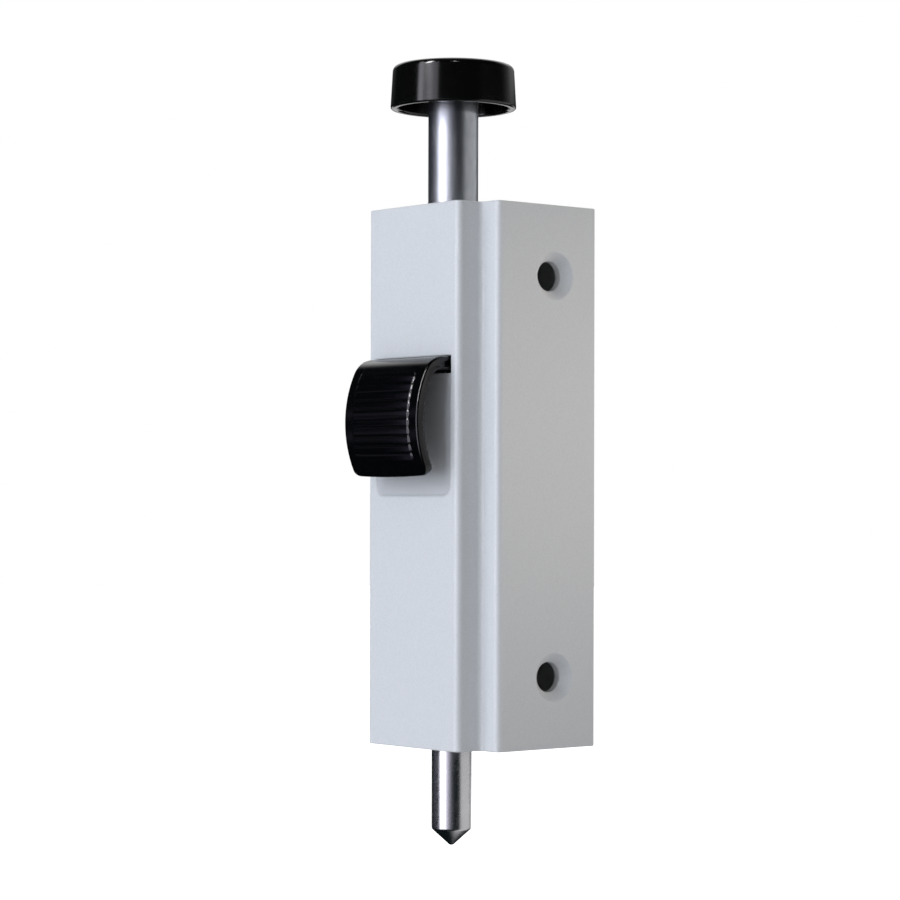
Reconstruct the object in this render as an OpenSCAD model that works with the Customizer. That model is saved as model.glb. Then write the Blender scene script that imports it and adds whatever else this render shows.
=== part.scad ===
// Push-down lock for a sliding patio door, in millimetres.
// A knob on a plunger is pushed down so that the bolt drops into the sill.
// A latch plate then catches a groove in the plunger, and the lever on the front pulls it free again.
// +Z is up, the lever faces -Y, and the housing's -X face lies against the door.

/* [Housing] */
// Height of the cast housing
housing_h = 107; // [96:1:120]
// Width of the front channel
channel_w = 28.2; // [27:0.1:30]
// Width of the base behind it
base_w = 38.2; // [36:0.1:44]
// How far the channel stands in front of the base
step_d = 5.9; // [4.5:0.1:7]
// Depth of the base
base_d = 25.5; // [24:0.1:30]
// Radius of the upright outer edges
edge_r = 1.3; // [0.5:0.1:1.5]
// Radius of the upright edges at the back
back_edge_r = 0.3; // [0.1:0.1:1]
// Radius of the inner corners beside the channel
inner_r = 1.1; // [0.3:0.1:1.4]
// Wall on each side of the base
side_wall = 3.2; // [2.4:0.1:3.6]
// Wall on each side of the channel
channel_wall = 3.2; // [2.4:0.1:3.4]
// Wall at the front of the channel
front_wall = 3.2; // [2.6:0.1:3.3]
// Wall behind the step
shoulder_wall = 2.9; // [2:0.1:3.4]
// Wall at the top and the bottom
end_wall = 5; // [4:0.1:6]

/* [Back cover] */
// Thickness of the back cover
cover_t = 2; // [1.6:0.1:2.5]
// Ledge round the cover that the side walls keep
cover_ledge = 1.6; // [1.2:0.1:2]
// Radius of the cast bosses that take the small screws
boss_r = 3.2; // [2.8:0.1:3.4]
// Shank diameter of the small screws
small_screw_d = 2.6; // [2:0.1:3]
// Head diameter of the small screws
small_head_d = 4.8; // [4.2:0.1:5.2]
// Length of the small screws
small_screw_l = 9; // [7:0.5:12]

/* [Mounting holes] */
// Diameter of the two holes that run across the housing
mount_hole_d = 6; // [5:0.1:6.6]
// Diameter of their countersinks on the open side
countersink_d = 9.6; // [8.5:0.1:10.5]
// Distance between the two holes
mount_spacing = 79; // [70:0.5:80]
// Distance of the holes from the back of the housing
mount_back = 10.8; // [8:0.1:11]

/* [Plunger] */
// Diameter of the plunger rod
rod_d = 10; // [9:0.1:10.4]
// Distance of the rod's axis behind the front face
rod_y = 10.4; // [9.8:0.1:10.8]
// Rod that shows between the housing and the knob
rod_out = 19.9; // [19:0.1:26]
// Travel of the plunger
stroke = 18; // [12:0.5:18.5]
// Depth of the groove that the latch plate catches
groove_depth = 1.5; // [1:0.1:1.8]

/* [Bolt] */
// Diameter of the bolt
bolt_d = 8; // [7:0.1:8.6]
// Length of bolt below the housing, without its point
bolt_out = 16.5; // [10:0.5:24]
// Height of the bolt's point
bolt_point_h = 3.3; // [2:0.1:6]
// Relief of the bolt's shank in the housing, on the radius
shank_relief = 0.2; // [0.16:0.02:0.4]
// Diameter of the spigot and of the bore that it sits in
spigot_d = 6; // [5:0.1:6.4]
// Length of the spigot
spigot_l = 12; // [9:0.5:13]
// Diameter of the pin across the joint
cross_pin_d = 2; // [1.5:0.1:2.5]

/* [Knob] */
// Diameter of the knob at its open rim
knob_d = 25.2; // [22:0.1:30]
// Height of the knob
knob_h = 8.7; // [7.5:0.1:14]
// Draft of the knob's side, on the radius
knob_draft = 0.5; // [0:0.05:1.2]
// Wall of the knob
knob_wall = 1.6; // [1.2:0.1:2.2]
// Radius of the knob's top edge
knob_edge_r = 0.8; // [0.4:0.1:1.4]
// Diameter of the knob's hub
hub_d = 13; // [12.4:0.1:16]
// Distance of the hub behind the rim
hub_recess = 2.6; // [1.5:0.1:3.5]
// Diameter of the rod's end inside the hub
tang_d = 8; // [6:0.1:8.4]

/* [Release lever] */
// Width of the lever
lever_w = 22.8; // [21:0.1:23]
// Height of the lever's top above the housing's bottom
lever_top = 76.7; // [70:0.1:80]
// Height of the lever
lever_h = 23.5; // [20:0.1:26]
// How far the lever stands in front of the housing
lever_reach = 8.1; // [7.5:0.1:12]
// Thickness of the lever's plate
lever_t = 2; // [1.8:0.1:2.8]
// Thickness of the foot that enters the housing
foot_t = 2.6; // [2.4:0.1:3]
// Radius of the lever's bowed face
bow_r = 22; // [21:0.5:30]
// Height of the bow's centre below the lever's top
bow_drop = 12.6; // [11.5:0.1:13.5]
// Radius of the bend from the face to the foot
bend_r = 5; // [4:0.1:6.5]
// Radius of the hollow under the foot
under_r = 3; // [2:0.1:4]
// Radius of the lever's lower corners
lever_corner_r = 1.6; // [0.6:0.1:3]
// How far the lower edge bows down between its corners
edge_bow = 0.4; // [0.1:0.1:1]
// Radius of the two edges of the lever's lower end
end_r = 0.5; // [0.3:0.1:0.8]
// Swing of the lever when it is pressed, in degrees
press_angle = 10; // [6:0.5:10.5]
// Distance of the highest grip rib below the lever's top
rib_drop = 4.5; // [3.5:0.1:6]
// Distance from one grip rib to the next
rib_pitch = 1.73; // [1.4:0.01:1.85]
// Number of grip ribs
rib_count = 10; // [4:1:10]
// Radius of a grip rib
rib_r = 0.6; // [0.4:0.05:0.8]
// How far a grip rib stands out of the face
rib_stand = 0.25; // [0.1:0.05:0.4]
// Smooth border beside the ribs
rib_border = 2.3; // [1.5:0.1:5]
// Diameter of the hinge pin
pin_d = 1.6; // [1.2:0.1:1.8]
// Distance of the hinge pin behind the front face
pin_y = 3.3; // [3.2:0.05:3.4]

/* [Recess] */
// Depth of the recess behind the lever
recess_d = 0.6; // [0.4:0.1:1.2]
// Height of the recess floor's lower edge above the housing's bottom
recess_bottom = 49.4; // [46:0.1:52]
// Radius of the recess's lower corners
recess_r = 2.4; // [1:0.1:4]

/* [Latch] */
// Thickness of the latch plate
latch_t = 2; // [1.5:0.1:2.4]
// Width of the latch plate
latch_w = 19; // [17.6:0.1:20]
// Distance of the latch plate below the hinge pin
latch_drop = 13.1; // [11:0.1:15]
// Depth of the latch plate behind the rod
latch_back = 6; // [4:0.1:7]
// Height of the guide block
guide_h = 10; // [8:0.1:12]

/* [Springs] */
// Wire diameter of the return spring
return_wire = 1.2; // [0.8:0.1:1.4]
// Turns of the return spring
return_turns = 10; // [7:1:11]
// Wire diameter of the latch spring
latch_wire = 0.5; // [0.4:0.05:0.6]
// Turns of the latch spring
latch_turns = 5; // [4:1:6]

/* [Fits] */
// Radial clearance of what slides or turns
run_gap = 0.05; // [0.02:0.01:0.08]
// Clearance of what is pressed or screwed in place
seat_gap = 0.02; // [0.01:0.01:0.04]
// Clearance between moving pieces that only pass each other
pass_gap = 0.3; // [0.25:0.05:0.4]
// Clearance on each side of pieces that stand or slide beside each other
side_gap = 0.1; // [0.05:0.05:0.2]

/* [Hidden] */
$fn = 64;

// Past a surface, so that a cut leaves no skin
past = 1;

total_d = step_d + base_d;
cavity_w = base_w - 2 * side_wall;
channel_in_w = channel_w - 2 * channel_wall;
cavity_y = step_d + shoulder_wall;
mount_y = total_d - mount_back;
mount_z = [(housing_h - mount_spacing) / 2, (housing_h + mount_spacing) / 2];

// Small screws: their places and their heads
boss_sink = 0.6;
boss_inset = boss_r - boss_sink;
boss_x = cavity_w / 2 - boss_inset;
boss_z = [end_wall + boss_inset, housing_h - end_wall - boss_inset];
cover_y = total_d - cover_t;
small_head_h = (small_head_d - small_screw_d) / 2;
pilot_extra = 1;

// Latch: the plate's middle, its travel and the groove that waits above it
latch_z = lever_top - foot_t / 2 - latch_drop;
latch_travel = latch_drop * press_angle * PI / 180;
rod_r = rod_d / 2;
throat_r = rod_r + 2 * run_gap;
groove_r = rod_r - groove_depth;
groove_below = 0.25;
groove_above = 0.5;
groove_z = [
  latch_z - latch_t / 2 + stroke - groove_below,
  latch_z + latch_t / 2 + stroke + groove_above
];

// Bushings in the end walls
bush_wall = 1.2;
flange_t = 1.4;
flange_lip = 1.4;
flange_front = front_wall + 2 * side_gap;
shank_r = bolt_d / 2 - shank_relief;
top_bush_r = rod_r + run_gap + bush_wall;
bottom_bush_r = shank_r + run_gap + bush_wall;

// Ring that stops the plunger under the top bushing
ring_t = 1.2;
ring_seat = 0.6;
ring_lip = 1.6;
ring_groove_r = rod_r - ring_seat;
ring_r = min(rod_r + ring_lip, rod_y - front_wall - pass_gap);
ring_top = housing_h - end_wall - flange_t - side_gap;
ring_open = 60;

// Plunger, bolt and the joint between them
knob_rim = housing_h + rod_out;
rod_top = knob_rim + hub_recess;
cup_t = 1.4;
washer_t = 0.8;
joint_z = 50;
bore_extra = 0.2;
cross_pin_z = joint_z + spigot_l / 2;
tip_r = 0.35;

// Return spring between the washer and the cup
spring_out = 0.25;
seat_lip = 0.6;
spring_mean_r = rod_r + spring_out;
spring_seat_r = min(spring_mean_r + return_wire / 2 + seat_lip, rod_y - front_wall - pass_gap);
spring_low = end_wall + flange_t + washer_t;
spring_high = joint_z - cup_t;

// Guide block and the latch spring in it
guide_w = cavity_w - 2 * pass_gap;
guide_off = 0.5;
guide_y = rod_y + rod_r + guide_off;
guide_pilot = 1.5;
guide_screw_y = min(cover_y - pass_gap, cavity_y - guide_pilot + pilot_extra + small_screw_l);
plate_end = rod_y + rod_r + latch_back;
spring_floor = 2;
spring_bore_r = 2.6;
latch_spring_r = 2.05;
tongue_w = 2.2;
tongue_l = 2.4;

// Lever: centres of the arcs of its side view
bow_c = [bow_r - lever_reach, lever_top - bow_drop];
bend_c = tangent_centre(bow_c, bow_r - bend_r, lever_top - bend_r);
bow_in_r = bow_r - lever_t;
under_c = tangent_centre(bow_c, bow_in_r - under_r, lever_top - foot_t - under_r);
lever_low = lever_top - lever_h;
front_c_r = bow_r - end_r;
rear_c_r = bow_in_r + end_r;
front_angle = 180 + asin((bow_c.y - end_r - lever_low) / front_c_r);
end_angle = front_angle + asin(end_r / front_c_r);
rear_angle = end_angle - asin(end_r / rear_c_r);
pin_z = lever_top - foot_t / 2;
lever_gap = 0.3;
slot_air = 0.15;
slot_drop = (pin_y - recess_d) * sin(press_angle) + slot_air;
slot_rise = 0.15;
slot_past = 0.2;
foot_gap = 0.35;
foot_in_w = channel_in_w - 2 * foot_gap;
arm_t = 2;
arm_w = 3;
arm_y = front_wall + pass_gap;
arm_off = 1.3;
arm_x = rod_r + arm_off;
nose_r = arm_t / 2;
prong_y = arm_y + arm_t + side_gap;
pin_reach = 2;
recess_w = lever_w + 2 * lever_gap;

// Centre of an arc inside another arc that it touches, at a known height
function tangent_centre(c, distance, height) =
  [c.x - sqrt(distance ^ 2 - (height - c.y) ^ 2), height];

// Points of an arc, from one angle to another
function arc(c, r, from, to, steps) = [
  for (i = [0 : steps]) let (a = from + (to - from) * i / steps) c + r * [cos(a), sin(a)]
];

coil_rings = 8;
coil_sides = 6;
coil_air = 0.55;

// Height of a coil spring after t turns, with its first and last turn wound close
function coil_height(t, turns, wire, length) =
  let (close = wire + coil_air, open = (length - wire - 2 * close) / (turns - 2))
  t < 1 ? t * close
  : t < turns - 1 ? close + (t - 1) * open
  : length - wire - (turns - t) * close;

// Centres of a coil spring's rings, along its wire
function coil_path(mean_r, turns, wire, length) = [
  for (i = [0 : turns * coil_rings])
    let (t = i / coil_rings, a = 360 * t)
      [mean_r * cos(a), mean_r * sin(a), wire / 2 + coil_height(t, turns, wire, length)]
];

// Least gap from one turn to the next, measured between ring centres half a turn or more apart
function coil_gap(path, wire) = min([
  for (i = [0 : len(path) - 1])
    for (j = [i + coil_rings / 2 : 1 : len(path) - 1])
      norm(path[i] - path[j]) - wire
]);

// Shared shapes

// Puts a piece where it belongs: the origin is the middle of the housing's door-side face
module placed() {
  translate([base_w / 2, -mount_y, -housing_h / 2]) children();
}

// Flat rectangle with round corners
module rounded_slab(x, y, w, d, r) {
  translate([x + r, y]) square([w - 2 * r, d]);
  translate([x, y + r]) square([w, d - 2 * r]);
  for (cx = [x + r, x + w - r], cy = [y + r, y + d - r]) translate([cx, cy]) circle(r);
}

// Cylinder that runs back along +Y from a point
module rod_back(at, r, l) {
  translate(at) rotate([-90, 0, 0]) cylinder(r = r, h = l);
}

// Cylinder that runs along +X from a point
module rod_across(at, r, l) {
  translate(at) rotate([0, 90, 0]) cylinder(r = r, h = l);
}

// Upright cylinder on the plunger's axis, from one height to another
module on_axis(r, z0, z1) {
  translate([0, rod_y, z0]) cylinder(r = r, h = z1 - z0);
}

// One unbroken tube along a list of ring centres
module coil(path, mean_r, wire) {
  n = len(path);
  s = coil_sides;
  points = [
    for (i = [0 : n - 1])
      for (k = [0 : s - 1])
        let (a = 360 * i / coil_rings, b = 360 * k / s, r = mean_r + wire / 2 * cos(b))
          [r * cos(a), r * sin(a), path[i].z + wire / 2 * sin(b)]
  ];
  sides = [
    for (i = [0 : n - 2])
      for (k = [0 : s - 1])
        let (a = i * s + k, b = i * s + (k + 1) % s)
          each [[a, b, b + s], [a, b + s, a + s]]
  ];
  low_end = [for (k = [1 : s - 2]) [0, k + 1, k]];
  high_end = [for (k = [1 : s - 2]) [(n - 1) * s, (n - 1) * s + k, (n - 1) * s + k + 1]];
  polyhedron(points = points, faces = concat(sides, low_end, high_end));
}

// Countersunk screw with a cross recess, its head flush at the given point and its shank towards -Y
module small_screw(at) {
  cross_w = small_head_d * 0.16;
  cross_l = small_head_d * 0.55;
  cross_d = small_head_h * 0.7;
  translate(at) rotate([90, 0, 0]) difference() {
    union() {
      cylinder(r1 = small_head_d / 2, r2 = small_screw_d / 2, h = small_head_h);
      cylinder(r = small_screw_d / 2, h = small_screw_l);
    }
    for (turn = [0, 90])
      rotate([0, 0, turn]) translate([-cross_l / 2, -cross_w / 2, -past])
        cube([cross_l, cross_w, cross_d + past]);
  }
}

// Hole and countersink for a small screw, cut towards -Y from the given point
module small_screw_hole(at, depth) {
  translate(at) rotate([90, 0, 0]) {
    cylinder(r1 = small_head_d / 2 + seat_gap, r2 = small_screw_d / 2 + seat_gap, h = small_head_h);
    cylinder(r = small_screw_d / 2 + seat_gap, h = depth);
  }
}

// Housing

module housing_outline() {
  rounded_slab(-base_w / 2, step_d, base_w, base_d - edge_r, edge_r);
  rounded_slab(-base_w / 2, step_d + base_d / 2, base_w, base_d / 2, back_edge_r);
  rounded_slab(-channel_w / 2, 0, channel_w, step_d + 3 * edge_r, edge_r);
  for (side = [-1, 1]) difference() {
    translate([side * channel_w / 2 - (side < 0 ? inner_r : 0), step_d - inner_r])
      square([inner_r, inner_r + edge_r]);
    translate([side * (channel_w / 2 + inner_r), step_d - inner_r]) circle(inner_r);
  }
}

// Inside of the housing, open at the back
module housing_cavity() {
  h = housing_h - 2 * end_wall;
  translate([-cavity_w / 2, cavity_y, end_wall]) cube([cavity_w, total_d - cavity_y + past, h]);
  translate([-channel_in_w / 2, front_wall, end_wall]) cube([channel_in_w, cavity_y, h]);
}

// Space that the cover fills when the gap is taken off all round
module cover_space(gap, d) {
  edge = cover_ledge + gap;
  translate([-base_w / 2 + edge, cover_y, edge]) cube([base_w - 2 * edge, d, housing_h - 2 * edge]);
}

// Shallow recess in the front face, with round lower corners
module lever_recess() {
  top = lever_top + slot_rise;
  translate([0, recess_d, 0]) rotate([90, 0, 0]) linear_extrude(recess_d + past) {
    rounded_slab(-recess_w / 2, recess_bottom, recess_w, top - recess_bottom, recess_r);
    translate([-recess_w / 2, top - 2 * recess_r]) square([recess_w, 2 * recess_r]);
  }
}

// Slot that the lever's foot enters by
module foot_slot() {
  low = lever_top - foot_t - slot_drop;
  translate([-recess_w / 2, -past, low])
    cube([recess_w, front_wall + past + slot_past, lever_top + slot_rise - low]);
}

// Way that the latch plate keeps open between the two bosses of its guide block
module latch_way() {
  w = latch_w + 2 * pass_gap;
  h = latch_t + 2 * pass_gap;
  translate([-w / 2, cavity_y, latch_z - h / 2]) cube([w, guide_y - cavity_y + past, h]);
}

module housing() {
  color([0.80, 0.81, 0.84]) placed() difference() {
    union() {
      difference() {
        linear_extrude(housing_h) housing_outline();
        housing_cavity();
        cover_space(0, cover_t + past);
        lever_recess();
        foot_slot();
      }
      for (x = [-boss_x, boss_x], z = boss_z)
        rod_back([x, cavity_y - past, z], boss_r, cover_y - cavity_y + past);
      for (x = [-boss_x, boss_x])
        rod_back([x, cavity_y - past, latch_z], boss_r, guide_y - cavity_y + past);
    }
    latch_way();
    on_axis(top_bush_r + seat_gap, housing_h - end_wall - past, housing_h + past);
    on_axis(bottom_bush_r + seat_gap, -past, end_wall + past);
    for (z = mount_z) {
      rod_across([-base_w / 2 - past, mount_y, z], mount_hole_d / 2, base_w + 2 * past);
      translate([base_w / 2 - (countersink_d - mount_hole_d) / 2, mount_y, z])
        rotate([0, 90, 0]) cylinder(
          r1 = mount_hole_d / 2, r2 = countersink_d / 2, h = (countersink_d - mount_hole_d) / 2);
      rod_across([base_w / 2, mount_y, z], countersink_d / 2, past);
    }
    for (x = [-boss_x, boss_x], z = boss_z)
      rod_back([x, cover_y - small_screw_l - pilot_extra + cover_t, z],
        small_screw_d / 2 + seat_gap, small_screw_l + pilot_extra);
    for (x = [-boss_x, boss_x])
      rod_back([x, cavity_y - guide_pilot, latch_z], small_screw_d / 2 + seat_gap, guide_y);
    rod_across([-channel_w / 2 - past, pin_y, pin_z], pin_d / 2 + seat_gap,
      channel_w / 2 + channel_in_w / 2 + pin_reach + past);
  }
}

module back_cover() {
  color([0.70, 0.71, 0.73]) placed() difference() {
    cover_space(side_gap, cover_t);
    for (x = [-boss_x, boss_x], z = boss_z) small_screw_hole([x, total_d, z], cover_t + past);
  }
}

module cover_screws() {
  color([0.62, 0.63, 0.65]) placed()
    for (x = [-boss_x, boss_x], z = boss_z) small_screw([x, total_d, z]);
}

// Bushings

// Flanged bushing; its flange has a flat that clears the front wall
module bushing(bore_r, body_r, z_wall, z_flange) {
  difference() {
    union() {
      on_axis(body_r, z_wall, z_wall + end_wall);
      intersection() {
        on_axis(body_r + flange_lip, z_flange, z_flange + flange_t);
        translate([-base_w, flange_front, 0]) cube([2 * base_w, total_d, housing_h]);
      }
    }
    on_axis(bore_r, -past, housing_h + past);
  }
}

module top_bushing() {
  color([0.16, 0.16, 0.17]) placed()
    bushing(rod_r + run_gap, top_bush_r, housing_h - end_wall, housing_h - end_wall - flange_t);
}

module bottom_bushing() {
  color([0.16, 0.16, 0.17]) placed() bushing(shank_r + run_gap, bottom_bush_r, 0, end_wall);
}

// Springs and their seats

module spring_washer() {
  color([0.72, 0.72, 0.74]) placed() difference() {
    on_axis(spring_seat_r, end_wall + flange_t, spring_low);
    on_axis(shank_r + pass_gap, 0, spring_low + past);
  }
}

module spring_cup() {
  color([0.72, 0.72, 0.74]) placed() difference() {
    on_axis(spring_seat_r, spring_high, joint_z);
    on_axis(shank_r + seat_gap, 0, joint_z + past);
  }
}

module return_spring() {
  length = spring_high - spring_low;
  path = coil_path(spring_mean_r, return_turns, return_wire, length);
  echo(str("return spring, least gap to itself: ", coil_gap(path, return_wire), " mm"));
  color([0.55, 0.56, 0.58]) placed() translate([0, rod_y, spring_low])
    coil(path, spring_mean_r, return_wire);
}

module latch_spring() {
  length = cover_y - plate_end;
  path = coil_path(latch_spring_r, latch_turns, latch_wire, length);
  echo(str("latch spring, least gap to itself: ", coil_gap(path, latch_wire), " mm"));
  color([0.55, 0.56, 0.58]) placed() translate([0, plate_end, latch_z]) rotate([-90, 0, 0])
    coil(path, latch_spring_r, latch_wire);
}

// Plunger

module plunger_rod() {
  tang_top = knob_rim + knob_h - knob_wall - 2 * side_gap;
  color([0.78, 0.79, 0.80]) placed() difference() {
    union() {
      on_axis(rod_r, joint_z, rod_top);
      on_axis(tang_d / 2, rod_top - past, tang_top);
    }
    difference() {
      on_axis(rod_r + past, groove_z[0], groove_z[1]);
      on_axis(groove_r, groove_z[0] - past, groove_z[1] + past);
    }
    difference() {
      on_axis(rod_r + past, ring_top - ring_t - seat_gap, ring_top + seat_gap);
      on_axis(ring_groove_r, ring_top - ring_t - past, ring_top + past);
    }
    on_axis(spigot_d / 2 + seat_gap, joint_z - past, joint_z + spigot_l + bore_extra);
    rod_back([0, rod_y - rod_r - past, cross_pin_z], cross_pin_d / 2 + seat_gap, rod_d + 2 * past);
  }
}

module cross_pin() {
  short = 0.15;
  color([0.60, 0.61, 0.63]) placed()
    rod_back([0, rod_y - rod_r + short, cross_pin_z], cross_pin_d / 2, rod_d - 2 * short);
}

module retaining_ring() {
  color([0.35, 0.35, 0.37]) placed() difference() {
    on_axis(ring_r, ring_top - ring_t, ring_top);
    on_axis(ring_groove_r + seat_gap, 0, housing_h);
    translate([0, rod_y, ring_top - ring_t - past]) linear_extrude(ring_t + 2 * past)
      polygon([[0, 0], for (a = [90 - ring_open / 2, 90 + ring_open / 2]) 2 * ring_r * [cos(a), sin(a)]]);
  }
}

module bolt_pin() {
  color([0.78, 0.79, 0.80]) placed() difference() {
    union() {
      on_axis(spigot_d / 2, joint_z - past, joint_z + spigot_l);
      on_axis(shank_r, -past, joint_z);
      on_axis(bolt_d / 2, -bolt_out, -pass_gap);
      translate([0, rod_y, -bolt_out - bolt_point_h])
        cylinder(r1 = tip_r, r2 = bolt_d / 2, h = bolt_point_h);
    }
    rod_back([0, rod_y - rod_r, cross_pin_z], cross_pin_d / 2 + seat_gap, rod_d);
  }
}

// Knob

// Half section of the knob's outside, from its axis out, with its rim at height 0
module knob_section(r_rim, r_top, h, edge) {
  intersection() {
    union() {
      polygon([[0, 0], [r_rim, 0], [r_top, h - edge], [r_top - edge, h], [0, h]]);
      translate([r_top - edge, h - edge]) circle(edge);
    }
    square([r_rim, h]);
  }
}

module knob() {
  r_rim = knob_d / 2;
  r_top = r_rim - knob_draft;
  floor_h = knob_h - knob_wall;
  color([0.07, 0.07, 0.08]) placed() translate([0, rod_y, knob_rim]) difference() {
    union() {
      rotate_extrude() difference() {
        knob_section(r_rim, r_top, knob_h, knob_edge_r);
        polygon([[0, -past], [r_rim - knob_wall, -past], [r_top - knob_wall, floor_h], [0, floor_h]]);
      }
      translate([0, 0, hub_recess]) cylinder(r = hub_d / 2, h = floor_h - hub_recess + past / 2);
    }
    translate([0, 0, -past]) cylinder(r = tang_d / 2 + seat_gap, h = floor_h + past);
  }
}

// Latch

// Fork that catches the plunger's groove from behind; its prongs meet the lever's arms
module latch_plate() {
  color([0.66, 0.67, 0.70]) placed() translate([0, 0, latch_z - latch_t / 2])
    linear_extrude(latch_t) {
      difference() {
        translate([-latch_w / 2, prong_y]) square([latch_w, plate_end - prong_y]);
        translate([0, rod_y]) circle(throat_r);
        translate([-throat_r, prong_y - past]) square([2 * throat_r, rod_y - prong_y + past]);
      }
      translate([-tongue_w / 2, plate_end - past]) square([tongue_w, tongue_l + past]);
    }
}

module latch_guide() {
  slot_w = latch_w + 2 * side_gap;
  slot_h = latch_t + 2 * run_gap;
  color([0.85, 0.85, 0.82]) placed() difference() {
    translate([-guide_w / 2, guide_y, latch_z - guide_h / 2])
      cube([guide_w, cover_y - guide_y, guide_h]);
    translate([-slot_w / 2, guide_y - past, latch_z - slot_h / 2])
      cube([slot_w, plate_end + latch_travel + pass_gap - guide_y + past, slot_h]);
    rod_back([0, guide_y + spring_floor, latch_z], spring_bore_r, total_d);
    for (x = [-boss_x, boss_x]) {
      small_screw_hole([x, guide_screw_y, latch_z], total_d);
      rod_back([x, guide_screw_y - seat_gap, latch_z], small_head_d / 2 + seat_gap, total_d);
    }
  }
}

module guide_screws() {
  color([0.62, 0.63, 0.65]) placed()
    for (x = [-boss_x, boss_x]) small_screw([x, guide_screw_y, latch_z]);
}

// Release lever

// Steps along the short and the long arcs of the side view
short_arc = 12;
long_arc = 24;
corner_arc = 5;

// Side view of the lever: across is depth, up is height
module lever_section() {
  bend = atan2(bend_c.y - bow_c.y, bend_c.x - bow_c.x);
  under = atan2(under_c.y - bow_c.y, under_c.x - bow_c.x);
  front_c = bow_c + front_c_r * [cos(front_angle), sin(front_angle)];
  rear_c = bow_c + rear_c_r * [cos(rear_angle), sin(rear_angle)];
  polygon(concat(
    arc(bend_c, bend_r, 90, bend, short_arc),
    arc(bow_c, bow_r, bend, front_angle, long_arc),
    arc(front_c, end_r, front_angle, end_angle + 90, corner_arc),
    arc(rear_c, end_r, end_angle + 90, rear_angle + 180, corner_arc),
    arc(bow_c, bow_in_r, rear_angle, under, long_arc),
    arc(under_c, under_r, under, 90, short_arc),
    arc([pin_y, pin_z], foot_t / 2, -90, 90, short_arc)
  ));
}

// Extrudes a side view across the lock, between -half_w and half_w
module across(half_w) {
  translate([-half_w, 0, 0]) rotate([90, 0, 90]) linear_extrude(2 * half_w) children();
}

// Low round ribs across the bowed face, from the highest down
module grip_ribs() {
  half_l = lever_w / 2 - rib_border;
  step = rib_pitch / bow_r * 180 / PI;
  highest = asin((bow_drop - rib_drop) / bow_r);
  out = bow_r + rib_stand - rib_r;
  for (i = [0 : rib_count - 1])
    let (a = highest - i * step)
      rod_across([-half_l, bow_c.x - out * cos(a), bow_c.y + out * sin(a)], rib_r, 2 * half_l);
}

// Front view of the lever, with its bowed lower edge
module lever_outline() {
  half = lever_w / 2;
  r = lever_corner_r;
  edge_c_r = (half ^ 2 + edge_bow ^ 2) / (2 * edge_bow);
  edge_c = [0, lever_low + edge_c_r];
  turned = asin((half - r) / (edge_c_r - r));
  right_c = edge_c + (edge_c_r - r) * [sin(turned), -cos(turned)];
  left_c = [-right_c.x, right_c.y];
  top = lever_top + past;
  polygon(concat(
    arc(edge_c, edge_c_r, 270 - turned, 270 + turned, long_arc),
    arc(right_c, r, 270 + turned, 360, short_arc),
    [[half, top], [-half, top]],
    arc(left_c, r, 180, 270 - turned, short_arc)
  ));
}

module release_lever() {
  color([0.06, 0.06, 0.07]) placed() difference() {
    union() {
      intersection() {
        across(lever_w) lever_section();
        translate([0, total_d, 0]) rotate([90, 0, 0]) linear_extrude(2 * total_d) lever_outline();
        union() {
          translate([-lever_w, -total_d, 0]) cube([2 * lever_w, total_d + recess_d, housing_h]);
          translate([-foot_in_w / 2, -total_d, 0]) cube([foot_in_w, 2 * total_d, housing_h]);
        }
      }
      for (side = [-1, 1]) translate([side * (arm_x + arm_w / 2) - arm_w / 2, arm_y, latch_z])
        cube([arm_w, arm_t, pin_z - latch_z]);
      for (side = [-1, 1])
        rod_across([side * (arm_x + arm_w / 2) - arm_w / 2, arm_y + nose_r, latch_z], nose_r, arm_w);
      grip_ribs();
    }
    rod_across([-base_w, pin_y, pin_z], pin_d / 2 + run_gap, 2 * base_w);
  }
}

module lever_pin() {
  color([0.66, 0.67, 0.70]) placed()
    rod_across([-channel_w / 2 + side_gap, pin_y, pin_z], pin_d / 2,
      channel_w / 2 + channel_in_w / 2 + pin_reach - 2 * side_gap);
}

housing();
back_cover();
cover_screws();
top_bushing();
bottom_bushing();
spring_washer();
return_spring();
spring_cup();
plunger_rod();
knob();
retaining_ring();
bolt_pin();
cross_pin();
latch_plate();
latch_guide();
guide_screws();
latch_spring();
release_lever();
lever_pin();
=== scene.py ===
import math

import bmesh
import bpy
from bpy.props import FloatProperty, FloatVectorProperty, IntProperty, PointerProperty
from bpy.types import Operator, Panel, PropertyGroup
from mathutils import Matrix, Vector


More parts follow.
